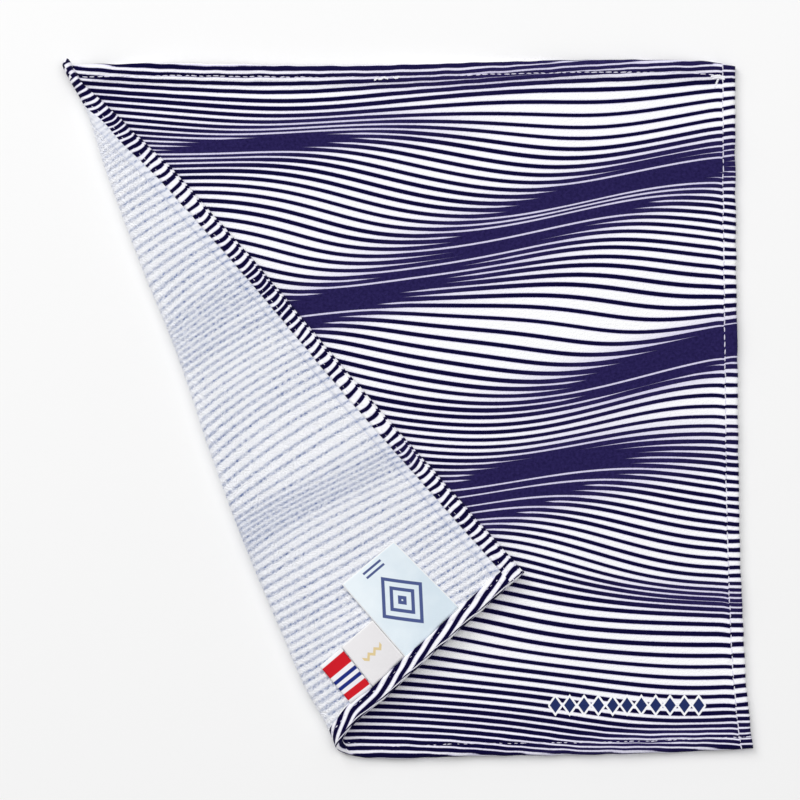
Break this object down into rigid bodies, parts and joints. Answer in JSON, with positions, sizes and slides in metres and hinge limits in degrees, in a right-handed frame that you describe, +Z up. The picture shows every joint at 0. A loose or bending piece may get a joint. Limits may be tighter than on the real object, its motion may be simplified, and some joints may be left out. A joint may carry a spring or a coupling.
{
  "type": "towel handkerchief",
  "caption": "Square hemmed towelling handkerchief lying flat, one corner folded over its front to show the back and the woven labels.",
  "frame": {"origin": "middle of the bounding box's underside, on the surface that the cloth lies on", "axes": "+Z up from the printed front, +Y towards the edge at the picture's top, +X towards its right edge"},
  "size_m": [0.2552, 0.2586, 0.009],
  "materials": {
    "printed_towelling": "matte cotton towelling",
    "pale_blue_label": "woven ribbon",
    "cream_label": "woven ribbon",
    "striped_label": "woven ribbon"
  },
  "bodies": {
    "root": {"towel": "printed_towelling", "wide_label": "pale_blue_label", "cream_label": "cream_label", "narrow_label": "striped_label"}
  },
  "joints": []
}
